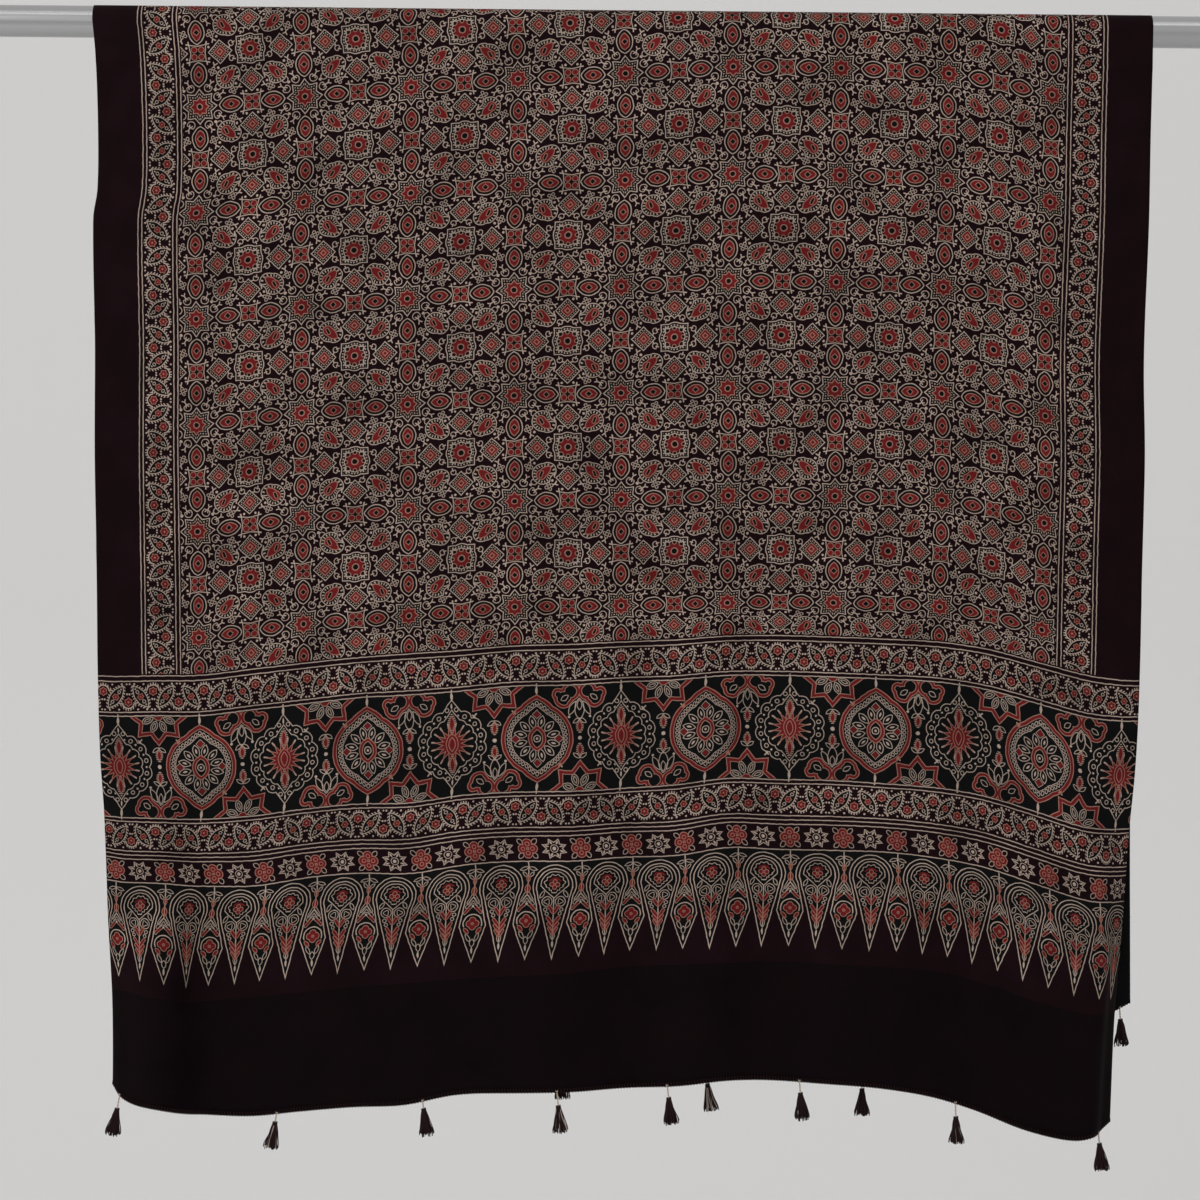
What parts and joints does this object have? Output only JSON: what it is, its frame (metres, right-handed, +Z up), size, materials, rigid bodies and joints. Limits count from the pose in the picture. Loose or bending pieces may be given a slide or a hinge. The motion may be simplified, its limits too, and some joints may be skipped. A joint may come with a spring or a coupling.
{
  "type": "ajrakh cloth over a rod",
  "caption": "Block-printed cotton shawl with a deep patterned end and tied tassels, folded over a plain round rod and hanging down on both sides.",
  "frame": {"origin": "middle of the rod's axis, where the rod is held up", "axes": "+X along the rod, +Z up, and the printed front faces -Y"},
  "size_m": [1.4, 0.0678, 1.1643],
  "materials": {
    "printed_cloth": "matt woven cotton, block printed in black, madder red and cream",
    "rod_steel": "bright polished steel",
    "tassel_thread": "loose cotton yarn"
  },
  "bodies": {
    "root": {"rod": "rod_steel", "cloth": "printed_cloth", "tassel_front_1": "tassel_thread", "tassel_front_2": "tassel_thread", "tassel_front_3": "tassel_thread", "tassel_front_4": "tassel_thread", "tassel_front_5": "tassel_thread", "tassel_front_6": "tassel_thread", "tassel_front_7": "tassel_thread", "tassel_front_8": "tassel_thread", "tassel_back_1": "tassel_thread", "tassel_back_2": "tassel_thread", "tassel_back_3": "tassel_thread", "tassel_back_4": "tassel_thread", "tassel_back_5": "tassel_thread", "tassel_back_6": "tassel_thread", "tassel_back_7": "tassel_thread", "tassel_back_8": "tassel_thread"}
  },
  "joints": []
}
